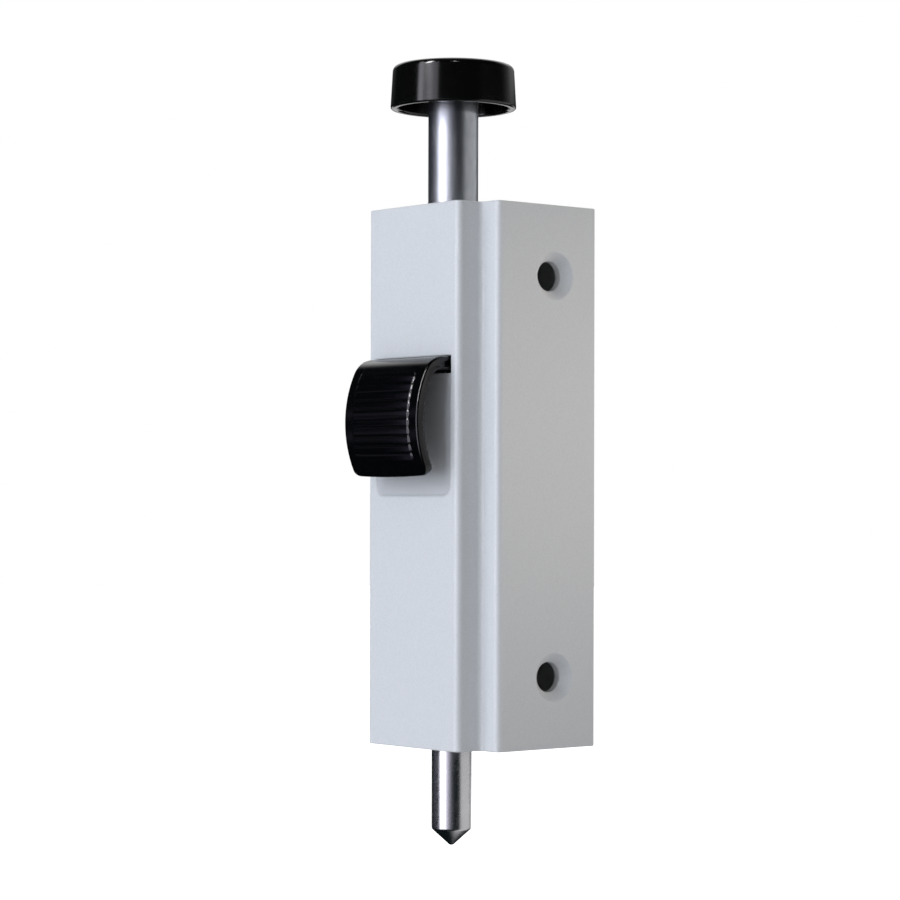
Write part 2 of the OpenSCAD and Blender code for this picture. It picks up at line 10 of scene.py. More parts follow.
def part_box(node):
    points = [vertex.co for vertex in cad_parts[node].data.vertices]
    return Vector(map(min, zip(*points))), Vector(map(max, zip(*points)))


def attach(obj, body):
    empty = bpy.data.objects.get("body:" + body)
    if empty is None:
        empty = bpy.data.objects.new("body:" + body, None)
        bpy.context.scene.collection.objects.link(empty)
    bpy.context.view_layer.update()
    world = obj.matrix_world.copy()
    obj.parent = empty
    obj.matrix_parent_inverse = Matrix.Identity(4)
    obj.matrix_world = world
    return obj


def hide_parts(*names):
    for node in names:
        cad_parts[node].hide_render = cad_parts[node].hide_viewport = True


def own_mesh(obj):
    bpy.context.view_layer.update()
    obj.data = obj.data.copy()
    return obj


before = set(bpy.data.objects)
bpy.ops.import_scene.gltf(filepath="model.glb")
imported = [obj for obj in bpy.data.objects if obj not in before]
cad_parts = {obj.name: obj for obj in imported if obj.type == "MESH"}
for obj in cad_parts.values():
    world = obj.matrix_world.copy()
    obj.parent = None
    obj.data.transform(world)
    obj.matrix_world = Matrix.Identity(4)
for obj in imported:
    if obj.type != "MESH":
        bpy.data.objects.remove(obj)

bl_info = {
    "name": "Patio Door Lock",
    "version": (1, 0, 0),
    "blender": (4, 5, 0),
    "location": "View3D > Sidebar > Patio Lock",
    "description": "Dresses the packed frame of a push-down lock for a sliding patio door",
    "category": "Object",
}

MM = 0.001
# Vertices closer than this are one vertex
WELD = 0.002 * MM
# Lengths closer than this are the same
TOUCH = 0.01 * MM
# Steps of a full turn on the round pieces that show, and on drilled holes
TURN_STEPS = 96
DRILL_STEPS = 32
# Edges that turn by more degrees than this are rounded
SHARP_TURN = 30
# Edges of a piece, and of the bowed lever, that turn by more degrees than this are shaded sharp
SHADE_TURN = 35
BOW_SHADE_TURN = 50
# Steps along the lever's ribbed front, and along its plain back
FINE_STEP = 0.1 * MM
COARSE_STEP = 0.6 * MM

# How far the bolt is pushed down and the latch plate is pushed back
STROKE = 18 * MM
LATCH_TRAVEL = 2.286 * MM

# Places that the frame gives
CASE_LOW, CASE_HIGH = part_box("housing")
ROD_LOW, ROD_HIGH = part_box("plunger_rod")
KNOB_LOW, KNOB_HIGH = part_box("knob")
BOLT_LOW, BOLT_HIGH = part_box("bolt_pin")
LEVER_LOW, LEVER_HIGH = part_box("release_lever")
COVER_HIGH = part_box("back_cover")[1]
AXIS = Vector(((ROD_LOW.x + ROD_HIGH.x) / 2, (ROD_LOW.y + ROD_HIGH.y) / 2, 0))

# Where the housing's edges lie: the bores within this of the axis, the screw holes further than
# this behind the front, and the recess further than this from both ends
BORE_REACH = 8 * MM
HOLE_DEPTH = 14 * MM
RECESS_MARGIN = 20 * MM
# The recess is less deep than this
RECESS_DEPTH = 1 * MM


def linear(code):
    """An sRGB hex colour as linear red, green and blue."""
    parts = [int(code[i:i + 2], 16) / 255 for i in (1, 3, 5)]
    return tuple(p / 12.92 if p <= 0.04045 else ((p + 0.055) / 1.055) ** 2.4 for p in parts)


def length(name, text, mm):
    """A size that the user can change, given in millimetres."""
    return FloatProperty(name=name, description=text, default=mm * MM, min=0, precision=6,
                         subtype="DISTANCE", unit="LENGTH")


def turn(name, text, degrees):
    """An angle that the user can change, given in degrees."""
    return FloatProperty(name=name, description=text, default=math.radians(degrees),
                         subtype="ANGLE", unit="ROTATION")


def tint(name, text, code):
    """A colour that the user can change, given as sRGB hex."""
    return FloatVectorProperty(name=name, description=text, default=linear(code), size=3,
                               min=0, max=1, subtype="COLOR")


class CaseSizes(PropertyGroup):
    """Rounding of the cast housing and its back cover."""

    end_round: length("End round", "Rounding of the edges round the top", 0.35)
    foot_round: length("Foot round", "Rounding of the edges round the bottom", 0.6)
    recess_draft: length("Recess draft", "How far the recess's wall slopes in below the lever",
                         0.6)
    slope_start: length("Slope start", "Depth below the lever's top where the slope starts", 6)
    slope_full: length("Slope full", "Depth below the lever's top where the slope is full", 8)
    recess_round: length("Recess round", "Rounding of the recess's rim", 0.36)
    hole_round: length("Hole round", "Rounding of the rims of the screw holes", 0.35)
    cover_round: length("Cover round", "Rounding of the back cover's edges", 0.25)


class KnobSizes(PropertyGroup):
    """Shape of the moulded knob."""

    wall: length("Wall", "Thickness of the skirt at its rim", 1.6)
    floor: length("Floor", "Thickness of the top", 1.6)
    draft: length("Draft", "How much smaller the top is than the rim, on the radius", 0.5)
    top_round: length("Top round", "Rounding of the top edge", 1.1)
    lip_round: length("Lip round", "Rounding of the rim", 0.48)
    hub_radius: length("Hub radius", "Radius of the hub round the rod", 6.5)
    hub_recess: length("Hub recess", "Distance of the hub behind the rim", 2.6)
    bore_radius: length("Bore radius", "Radius of the hole for the rod's end", 4.02)


class RodSizes(PropertyGroup):
    """Shape of the plated rod and of the bolt below it."""

    rod_radius: length("Rod radius", "Radius of the plunger rod", 5)
    tang_radius: length("Tang radius", "Radius of the rod's end in the knob", 4)
    groove_radius: length("Groove radius", "Radius at the bottom of the latch groove", 3.5)
    ring_groove_radius: length("Ring groove radius", "Radius under the retaining ring", 4.4)
    bolt_radius: length("Bolt radius", "Radius of the bolt", 4)
    shank_radius: length("Shank radius", "Radius of the bolt inside the housing", 3.8)
    spigot_radius: length("Spigot radius", "Radius of the bolt's end in the rod", 3)
    point_radius: length("Point radius", "Radius of the bolt's blunt tip", 0.35)
    point_height: length("Point height", "Height of the bolt's point", 3.3)
    edge_round: length("Edge round", "Rounding where the bolt's point begins", 0.25)
    tip_round: length("Tip round", "Rounding of the bolt's blunt tip", 0.21)
    groove_below: length("Groove below", "Room in the latch groove below the latch plate", 0.25)
    groove_above: length("Groove above", "Room in the latch groove above the latch plate", 0.5)
    spigot_room: length("Spigot room", "Room above the bolt's end in the rod", 0.2)
    spigot_gap: length("Spigot gap", "Gap round the bolt's end in the rod", 0.02)
    bolt_start: length("Bolt start", "Distance of the bolt's full width below the housing", 0.3)
    pin_hole_radius: length("Pin hole radius", "Radius of the hole for the cross pin", 1.02)


class LeverSizes(PropertyGroup):
    """Shape of the release lever."""

    thickness: length("Thickness", "Thickness of the bowed plate", 2)
    foot_thickness: length("Foot thickness", "Thickness of the foot that enters the housing", 2.6)
    bow_radius: length("Bow radius", "Radius of the bowed face", 22)
    bow_drop: length("Bow drop", "Height of the bow's centre below the lever's top", 12.6)
    reach: length("Reach", "How far the bow stands in front of the housing", 8.1)
    height: length("Height", "Height of the lever", 23.5)
    bend_radius: length("Bend radius", "Radius of the bend from the face to the foot", 5)
    under_radius: length("Under radius", "Radius of the hollow under the foot", 3)
    corner_radius: length("Corner radius", "Radius of the lower corners", 1.6)
    edge_bow: length("Edge bow", "How far the lower edge bows down between its corners", 0.4)
    end_round: length("End round", "Radius of the two edges of the lower end", 0.5)
    side_round: length("Side round", "Rounding of the edges down both sides", 0.45)
    foot_width: length("Foot width", "Width of the foot inside the housing", 21.1)
    wide_depth: length("Wide depth", "How far the full width goes into the recess", 0.6)
    pin_depth: length("Pin depth", "Distance of the hinge pin behind the front face", 3.3)
    pin_radius: length("Pin hole radius", "Radius of the hole for the hinge pin", 0.85)
    arm_width: length("Arm width", "Width of the arms that push the latch plate", 3)
    arm_thickness: length("Arm thickness", "Thickness of the arms, from front to back", 2)
    arm_start: length("Arm start", "Distance of the arms behind the front face", 3.5)
    arm_gap: length("Arm gap", "Distance of the arms beside the rod", 1.3)
    rib_drop: length("Rib drop", "Distance of the highest rib below the lever's top", 4.5)
    rib_pitch: length("Rib pitch", "Distance from one rib to the next", 1.73)
    rib_height: length("Rib height", "How far a rib stands above the face", 0.24)
    rib_end: length("Rib end", "Length of a rib's round end", 0.8)
    rib_ease: length("Rib ease", "Length over which the outer ribs ease down to the face", 1.5)
    groove_depth: length("Groove depth", "Depth of the grooves between the ribs", 0.08)
    # How far the painted sheen runs in along the ribs
    sheen_reach: length("Rub reach", "How far the rubbed tone runs in along the ribs", 2.4)
    rib_border: length("Rib border", "Smooth border beside the ribs", 2.3)
    foot_step: length("Foot step", "Length over which the foot narrows in the recess", 0.02)
    nose_round: length("Nose round", "Rounding of the arms' lower ends", 0.96)
    corner_fade: length("Corner fade", "Height over which the lower corners fade out", 7)
    rib_count: IntProperty(name="Ribs", description="Number of ribs", default=10, min=1)


class FinishColours(PropertyGroup):
    """Colours of the finishes."""

    enamel: tint("Enamel", "Silver stove enamel of the casting", "#CFD1D4")
    enamel_flake: tint("Enamel flake", "Aluminium flakes in the enamel", "#DCDEE1")
    enamel_recess_shade: tint("Thin enamel", "Thinner coat in the recess", "#C2C4C8")
    # Painted shade: a darker grey on the recess floor that stands in for the shadow there
    knob: tint("Knob", "Glossy black of the knob", "#060605")
    lever: tint("Lever", "Black of the release lever", "#030304")
    # Painted sheen: a grey on the rib crests near their ends that stands in for their highlight
    lever_rib_sheen: tint("Lever rub", "Rubbed ends of the lever's ribs", "#242029")
    zinc: tint("Zinc", "Bright zinc plate", "#D8DADF")
    zinc_dull: tint("Zinc mottle", "Duller crystals of the zinc plate", "#BFC3CC")
    nickel: tint("Nickel", "Ground and plated bolt", "#E2E1E4")
    steel: tint("Steel", "Small steel parts", "#B9BABD")
    blued: tint("Blued steel", "Retaining ring and cross pin", "#4A4C55")
    wire: tint("Spring wire", "Drawn spring wire", "#8E9095")
    acetal: tint("Acetal", "Black acetal of the bushings", "#1B1B1D")
    natural: tint("Natural acetal", "Guide block", "#E4E3DC")


class StageSettings(PropertyGroup):
    """Camera, lamps and floor."""

    azimuth: turn("Azimuth", "Angle of the camera round the lock", 50.14)
    distance: length("Distance", "Distance of the camera from the lock's middle", 557)
    lens: FloatProperty(name="Lens", description="Focal length in millimetres", default=111.64,
                        min=1)
    aim_depth: length("Aim depth", "Distance of the lock's middle behind its front", 10.3)
    aside: length("Aside", "Distance of the camera to the left of the lock's middle", 0.41)
    below: length("Below", "Distance of the camera below the lock's middle", 6.03)
    pitch: turn("Pitch", "How far the camera looks up", 1.164)
    roll: turn("Roll", "Turn of the camera about its own axis", 0.162)
    floor_drop: length("Floor drop", "Distance of the floor below the lock's middle", 250)
    floor_radius: length("Floor radius", "Radius of the floor", 8000)
    floor_glow: FloatProperty(name="Floor glow", description="How white the camera sees the floor",
                              default=1.2, min=0)
    ambient: FloatProperty(name="Ambient", description="Light from all sides", default=0.41, min=0)


class LockSettings(PropertyGroup):
    """All settings of the lock."""

    case: PointerProperty(type=CaseSizes)
    knob: PointerProperty(type=KnobSizes)
    rod: PointerProperty(type=RodSizes)
    lever: PointerProperty(type=LeverSizes)
    finish: PointerProperty(type=FinishColours)
    stage: PointerProperty(type=StageSettings)


def settings():
    """The lock's settings on the scene."""
    return bpy.context.scene.patio_lock


# Mesh helpers

def welded(node):
    """A bmesh copy of a CAD node with its loose triangles joined and its flat faces whole."""
    bm = bmesh.new()
    bm.from_mesh(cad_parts[node].data)
    bmesh.ops.remove_doubles(bm, verts=bm.verts, dist=WELD)
    bmesh.ops.dissolve_limit(bm, angle_limit=math.radians(1), use_dissolve_boundaries=False,
                             verts=bm.verts, edges=bm.edges, delimit=set())
    return bm


def sharp_edges(bm, test):
    """Sharp convex edges both of whose ends pass a test."""
    return [
        e for e in bm.edges
        if len(e.link_faces) == 2 and e.is_convex
        and e.calc_face_angle(0) > math.radians(SHARP_TURN)
        and all(test(v.co) for v in e.verts)
    ]


def rounded(bm, edges, radius, segments=3, clamp=True):
    """Rounds edges with a bevel."""
    return bmesh.ops.bevel(bm, geom=edges, offset=radius, offset_type="OFFSET", segments=segments,
                           profile=0.5, affect="EDGES", clamp_overlap=clamp, loop_slide=True,
                           material=-1)


def near(a, b):
    """True if two lengths are the same."""
    return abs(a - b) < TOUCH


def eased(t):
    """0 to 1 with a smooth start and end, and level past them."""
    t = min(max(t, 0), 1)
    return t * t * (3 - 2 * t)


def from_axis(co):
    """Distance of a point from the plunger's axis."""
    return math.hypot(co.x - AXIS.x, co.y - AXIS.y)


def spun(outline):
    """A solid turned about the plunger's axis, from radii and heights of its half section."""
    bm = bmesh.new()
    verts = [bm.verts.new((AXIS.x + r, AXIS.y, z)) for r, z in outline]
    edges = [bm.edges.new(pair) for pair in zip(verts, verts[1:])]
    bmesh.ops.spin(bm, geom=verts + edges, cent=AXIS, axis=(0, 0, 1), angle=math.tau,
                   steps=TURN_STEPS, use_merge=True)
    bmesh.ops.remove_doubles(bm, verts=bm.verts, dist=WELD)
    bmesh.ops.recalc_face_normals(bm, faces=bm.faces)
    return bm


def ring_edges(bm, r, z):
    """Edges of the circle of a radius at a height."""
    return [e for e in bm.edges
            if all(near(from_axis(v.co), r) and near(v.co.z, z) for v in e.verts)]


def linked(name, data):
    """Makes an object of its data and links it to the scene."""
    made = bpy.data.objects.new(name, data)
    bpy.context.scene.collection.objects.link(made)
    return made


def mesh_object(bm, name):
    """Makes an object of a bmesh."""
    mesh = bpy.data.meshes.new(name)
    bm.to_mesh(mesh)
    bm.free()
    return linked(name, mesh)


def piece(bm, name, body, material, nodes, sharp=SHADE_TURN):
    """Makes a finished object of a bmesh: it rides on a body and stands for CAD nodes."""
    made = mesh_object(bm, name)
    made.data.shade_smooth()
    made.data.set_sharp_from_angle(angle=math.radians(sharp))
    made.data.materials.append(material)
    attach(made, body)
    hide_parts(*nodes)
    return made


def smooth_flats(made):
    """Keeps large flat faces flat beside their rounded edges."""
    even = made.modifiers.new("Even", "WEIGHTED_NORMAL")
    even.keep_sharp = True
    even.weight = 80


def merged(made, tool, operation):
    """Joins a tool object to a piece, or cuts it out, and applies the result."""
    step = made.modifiers.new("Join", "BOOLEAN")
    step.operation = operation
    step.solver = "EXACT"
    step.object = tool
    view = bpy.context.view_layer
    view.update()
    result = bpy.data.meshes.new_from_object(made.evaluated_get(view.depsgraph))
    made.modifiers.remove(step)
    old = made.data
    made.data = result
    result.name = old.name
    bpy.data.meshes.remove(old)
    bpy.data.objects.remove(tool)


def drilled(made, centre, radius, depth, about):
    """Drills a hole through a piece with an upright drill tipped over about an axis."""
    drill = bmesh.new()
    place = Matrix.Translation(centre) @ Matrix.Rotation(math.pi / 2, 4, about)
    bmesh.ops.create_cone(drill, cap_ends=True, segments=DRILL_STEPS, radius1=radius,
                          radius2=radius, depth=depth, matrix=place)
    merged(made, mesh_object(drill, "tool"), "DIFFERENCE")


# Material helpers

def add(tree, kind, inputs=None, **values):
    """Adds a node with its settings, and links or sets its inputs."""
    node = tree.nodes.new(kind)
    for key, value in values.items():
        setattr(node, key, value)
    for key, value in (inputs or {}).items():
        socket = node.inputs[key]
        if isinstance(value, bpy.types.NodeSocket):
            tree.links.new(value, socket)
        else:
            socket.default_value = value
    return node


def grain(mm):
    """Scale of a texture whose features are this many millimetres wide."""
    return 1 / (mm * MM)


def rgba(colour, share=1):
    """A colour, or a share of its brightness, with full alpha."""
    return (*(c * share for c in colour), 1)


def new_material(name):
    """An empty material, its nodes, and the place that its patterns are read at."""
    material = bpy.data.materials.new(name)
    material.use_nodes = True
    tree = material.node_tree
    tree.nodes.clear()
    return material, tree, add(tree, "ShaderNodeTexCoord").outputs["Object"]


# Nodes whose sockets share names are used by number. A colour mix has its factor at 0, its colours
# at 6 and 7 and its result at 2. A map range has its value at 0, its range at 1 and 2 and its new
# range at 3 and 4. Textures give their value at 0.

def silver_enamel():
    """Silver stove enamel on a zinc casting: satin, with aluminium flakes and orange peel.

    The recess's floor is painted a darker grey, as painted shade for the shadow that falls there.
    Real flakes are about 0.03 mm wide, and are drawn at 0.22 mm so that they show."""
    colours = settings().finish
    material, tree, place = new_material("silver_stove_enamel")
    flakes = add(tree, "ShaderNodeTexVoronoi", {"Vector": place, "Scale": grain(0.22)})
    peel = add(tree, "ShaderNodeTexNoise", {"Vector": place, "Scale": grain(0.9), "Detail": 2.0})
    cloud = add(tree, "ShaderNodeTexNoise", {"Vector": place, "Scale": grain(14), "Detail": 1.0})
    flake = add(tree, "ShaderNodeSeparateColor", {"Color": flakes.outputs["Color"]}).outputs[0]
    glint = add(tree, "ShaderNodeMapRange", {0: flake, 3: 0.0, 4: 0.5}).outputs[0]
    base = add(tree, "ShaderNodeMix", {
        0: glint, 6: rgba(colours.enamel), 7: rgba(colours.enamel_flake)},
        data_type="RGBA").outputs[2]
    # Painted shade on the recess floor, where the housing marks it
    recess_shade = add(tree, "ShaderNodeAttribute", attribute_name="recess_painted_shade").outputs["Fac"]
    base = add(tree, "ShaderNodeMix", {
        0: recess_shade, 6: base, 7: rgba(colours.enamel_recess_shade)}, data_type="RGBA").outputs[2]
    rough = add(tree, "ShaderNodeMapRange", {0: cloud.outputs[0], 3: 0.44, 4: 0.54}).outputs[0]
    bump = add(tree, "ShaderNodeBump", {"Strength": 0.35, "Distance": 0.006 * MM,
                                        "Height": peel.outputs[0]})
    shader = add(tree, "ShaderNodeBsdfPrincipled", {
        "Base Color": base, "Metallic": 0.04, "IOR": 1.48, "Roughness": rough,
        "Normal": bump.outputs[0]})
    add(tree, "ShaderNodeOutputMaterial", {"Surface": shader.outputs[0]})
    return material


def moulded_black(name, colour, rough_low, rough_high, peel_mm, sheen_tint=None):
    """Moulded black plastic: dark all through, with a faint flow texture, and a grey painted sheen
    where marked.
    """
    material, tree, place = new_material(name)
    flow = add(tree, "ShaderNodeTexNoise", {"Vector": place, "Scale": grain(peel_mm),
                                            "Detail": 3.0})
    cloud = add(tree, "ShaderNodeTexNoise", {"Vector": place, "Scale": grain(5), "Detail": 2.0})
    bump = add(tree, "ShaderNodeBump", {"Strength": 0.25, "Distance": 0.004 * MM,
                                        "Height": flow.outputs[0]})
    base = add(tree, "ShaderNodeMix", {
        0: cloud.outputs[0], 6: rgba(colour), 7: rgba(colour, 1.5)}, data_type="RGBA").outputs[2]
    # Painted sheen on the marked rib crests
    if sheen_tint:
        rib_sheen = add(tree, "ShaderNodeAttribute", attribute_name="rib_sheen").outputs["Fac"]
        base = add(tree, "ShaderNodeMix", {
            0: rib_sheen, 6: base, 7: rgba(sheen_tint)}, data_type="RGBA").outputs[2]
    rough = add(tree, "ShaderNodeMapRange", {
        0: cloud.outputs[0], 3: rough_low, 4: rough_high}).outputs[0]
    shader = add(tree, "ShaderNodeBsdfPrincipled", {
        "Base Color": base, "IOR": 1.53, "Roughness": rough, "Normal": bump.outputs[0]})
    add(tree, "ShaderNodeOutputMaterial", {"Surface": shader.outputs[0]})
    return material


def bright_zinc():
    """Bright zinc plate on drawn bar: a mirror broken by a faint crystal mottle."""
    colours = settings().finish
    material, tree, place = new_material("bright_zinc_plate")
    stretched = add(tree, "ShaderNodeMapping", {"Vector": place, "Scale": (1, 1, 0.55)}).outputs[0]
    mottle = add(tree, "ShaderNodeTexNoise", {"Vector": stretched, "Scale": grain(1.4),
                                              "Detail": 5.0, "Roughness": 0.62})
    spots = add(tree, "ShaderNodeTexNoise", {"Vector": place, "Scale": grain(0.5), "Detail": 2.0})
    base = add(tree, "ShaderNodeMix", {
        0: mottle.outputs[0], 6: rgba(colours.zinc), 7: rgba(colours.zinc_dull)},
        data_type="RGBA").outputs[2]
    rough = add(tree, "ShaderNodeMapRange", {0: mottle.outputs[0], 3: 0.26, 4: 0.48}).outputs[0]
    bump = add(tree, "ShaderNodeBump", {"Strength": 0.30, "Distance": 0.010 * MM,
                                        "Height": spots.outputs[0]})
    shader = add(tree, "ShaderNodeBsdfPrincipled", {
        "Base Color": base, "Metallic": 1.0, "Roughness": rough, "Normal": bump.outputs[0]})
    add(tree, "ShaderNodeOutputMaterial", {"Surface": shader.outputs[0]})
    return material


def ground_nickel():
    """Ground and nickel plated bolt: near mirror with fine rings from the grinding.

    Real rings are about 0.02 mm apart, and are drawn at 0.16 mm so that they show."""
    colour = settings().finish.nickel
    material, tree, place = new_material("ground_nickel_plate")
    rings = add(tree, "ShaderNodeMapping", {"Vector": place, "Scale": (0.1, 0.1, 1)}).outputs[0]
    lines = add(tree, "ShaderNodeTexNoise", {"Vector": rings, "Scale": grain(0.16), "Detail": 3.0})
    smear = add(tree, "ShaderNodeTexNoise", {"Vector": place, "Scale": grain(3), "Detail": 2.0})
    bump = add(tree, "ShaderNodeBump", {"Strength": 0.12, "Distance": 0.002 * MM,
                                        "Height": lines.outputs[0]})
    base = add(tree, "ShaderNodeMix", {
        0: smear.outputs[0], 6: rgba(colour), 7: rgba(colour, 0.9)}, data_type="RGBA").outputs[2]
    rough = add(tree, "ShaderNodeMapRange", {0: smear.outputs[0], 3: 0.22, 4: 0.32}).outputs[0]
    shader = add(tree, "ShaderNodeBsdfPrincipled", {
        "Base Color": base, "Metallic": 1.0, "Roughness": rough, "Normal": bump.outputs[0]})
    add(tree, "ShaderNodeOutputMaterial", {"Surface": shader.outputs[0]})
    return material


def small_steel(name, colour, dullness, line_mm):
    """Small steel parts: plated or blued, with fine lines from rolling, drawing or turning.

    The lines are drawn about ten times as coarse as real ones, so that they show."""
    material, tree, place = new_material(name)
    lines = add(tree, "ShaderNodeTexNoise", {"Vector": place, "Scale": grain(line_mm),
                                             "Detail": 4.0})
    bump = add(tree, "ShaderNodeBump", {"Strength": 0.2, "Distance": 0.004 * MM,
                                        "Height": lines.outputs[0]})
    base = add(tree, "ShaderNodeMix", {
        0: lines.outputs[0], 6: rgba(colour), 7: rgba(colour, 0.82)}, data_type="RGBA").outputs[2]
    rough = add(tree, "ShaderNodeMapRange", {
        0: lines.outputs[0], 3: dullness - 0.06, 4: dullness + 0.08}).outputs[0]
    shader = add(tree, "ShaderNodeBsdfPrincipled", {
        "Base Color": base, "Metallic": 1.0, "Roughness": rough, "Normal": bump.outputs[0]})
    add(tree, "ShaderNodeOutputMaterial", {"Surface": shader.outputs[0]})
    return material


def acetal(name, colour, dullness):
    """Machined or moulded acetal: waxy, with a low even sheen."""
    material, tree, place = new_material(name)
    wax = add(tree, "ShaderNodeTexNoise", {"Vector": place, "Scale": grain(0.7), "Detail": 3.0})
    bump = add(tree, "ShaderNodeBump", {"Strength": 0.2, "Distance": 0.006 * MM,
                                        "Height": wax.outputs[0]})
    base = add(tree, "ShaderNodeMix", {
        0: wax.outputs[0], 6: rgba(colour), 7: rgba(colour, 0.9)}, data_type="RGBA").outputs[2]
    rough = add(tree, "ShaderNodeMapRange", {
        0: wax.outputs[0], 3: dullness - 0.05, 4: dullness + 0.05}).outputs[0]
    shader = add(tree, "ShaderNodeBsdfPrincipled", {
        "Base Color": base, "IOR": 1.48, "Roughness": rough, "Normal": bump.outputs[0]})
    add(tree, "ShaderNodeOutputMaterial", {"Surface": shader.outputs[0]})
    return material


# Pieces

class PATIOLOCK_OT_housing(Operator):
    """Cast housing: the CAD solid with its edges rounded as a casting's are"""

    bl_idname = "patio_lock.housing"
    bl_label = "Housing"

    def execute(self, context):
        size = settings().case
        bm = welded("housing")
        self.recess(bm)
        hole_start = CASE_LOW.y + HOLE_DEPTH
        recess_low, recess_high = CASE_LOW.z + RECESS_MARGIN, CASE_HIGH.z - RECESS_MARGIN
        groups = (
            (size.foot_round, lambda c: near(c.z, CASE_LOW.z) and from_axis(c) > BORE_REACH),
            (size.end_round, lambda c: near(c.z, CASE_HIGH.z) and from_axis(c) > BORE_REACH),
            (size.recess_round, lambda c: near(c.y, CASE_LOW.y) and recess_low < c.z < recess_high),
            (size.hole_round, lambda c: near(c.x, CASE_HIGH.x) and hole_start < c.y),
            (size.hole_round, lambda c: near(c.x, CASE_LOW.x) and hole_start < c.y),
        )
        for radius, test in groups:
            edges = sharp_edges(bm, test)
            if not edges:
                raise RuntimeError("no edge of the housing passes a test")
            rounded(bm, edges, radius, segments=4)
        made = piece(bm, "cast_housing", "body", silver_enamel(), ["housing"])
        smooth_flats(made)
        return {"FINISHED"}

    def recess(self, bm):
        """Slopes the recess's wall, as a mould needs, and marks the painted shade on its floor."""
        size = settings().case
        recess_shade = bm.verts.layers.float.new("recess_painted_shade")
        # The lever's foot fills the top of the recess, so only the part below it slopes
        for drop in (size.slope_start, size.slope_full):
            level = LEVER_HIGH.z - drop
            # The recess's floor looks forwards, and its walls look sideways, up or down
            floor = [f for f in bm.faces if f.normal.y < -0.9
                     and WELD < f.calc_center_median().y - CASE_LOW.y < RECESS_DEPTH]
            inside = {w for f in floor for e in f.edges for w in e.link_faces
                      if w in floor or abs(w.normal.y) < 0.1}
            edges = {e for f in inside for e in f.edges}
            verts = {v for f in inside for v in f.verts}
            bmesh.ops.bisect_plane(bm, geom=[*inside, *edges, *verts], dist=WELD,
                                   plane_co=(0, 0, level), plane_no=(0, 0, 1))
        # Foot of each upright edge of the wall, and the way in from there
        walls = {}
        for edge in bm.edges:
            rim, foot = sorted(edge.verts, key=lambda v: v.co.y)
            straight = near(rim.co.x, foot.co.x) and near(rim.co.z, foot.co.z)
            if (near(rim.co.y, CASE_LOW.y) and straight
                    and WELD < foot.co.y - rim.co.y < RECESS_DEPTH):
                inward = sum((f.normal for f in edge.link_faces), Vector())
                walls[foot] = inward.normalized()
        if not walls:
            raise RuntimeError("the recess has no wall")
        # The slope is full below the last cut
        for foot, inward in walls.items():
            # Marks the recess floor for its painted shade
            foot[recess_shade] = 1
            if foot.co.z < level + WELD:
                foot.co += inward * size.recess_draft
        bm.normal_update()


class PATIOLOCK_OT_knob(Operator):
    """Moulded knob: a shallow cup, hollow underneath, on the rod's end"""

    bl_idname = "patio_lock.knob"
    bl_label = "Knob"

    def execute(self, context):
        size = settings().knob
        rim = (KNOB_HIGH.x - KNOB_LOW.x) / 2
        top = rim - size.draft
        low, high = KNOB_LOW.z, KNOB_HIGH.z
        inner_top = high - size.floor
        hub_low = low + size.hub_recess
        bm = spun([
            (0, high), (top, high), (rim, low), (rim - size.wall, low),
            (top - size.wall, inner_top), (size.hub_radius, inner_top),
            (size.hub_radius, hub_low), (size.bore_radius, hub_low),
            (size.bore_radius, inner_top), (0, inner_top)])
        rounded(bm, ring_edges(bm, top, high), size.top_round, segments=6)
        for r, z in ((rim, low), (rim - size.wall, low), (size.hub_radius, hub_low)):
            rounded(bm, ring_edges(bm, r, z), size.lip_round)
        black = moulded_black("moulded_abs_gloss_black", settings().finish.knob,
                              rough_low=0.10, rough_high=0.18, peel_mm=0.6)
        smooth_flats(piece(bm, "round_knob", "plunger", black, ["knob"]))
        return {"FINISHED"}


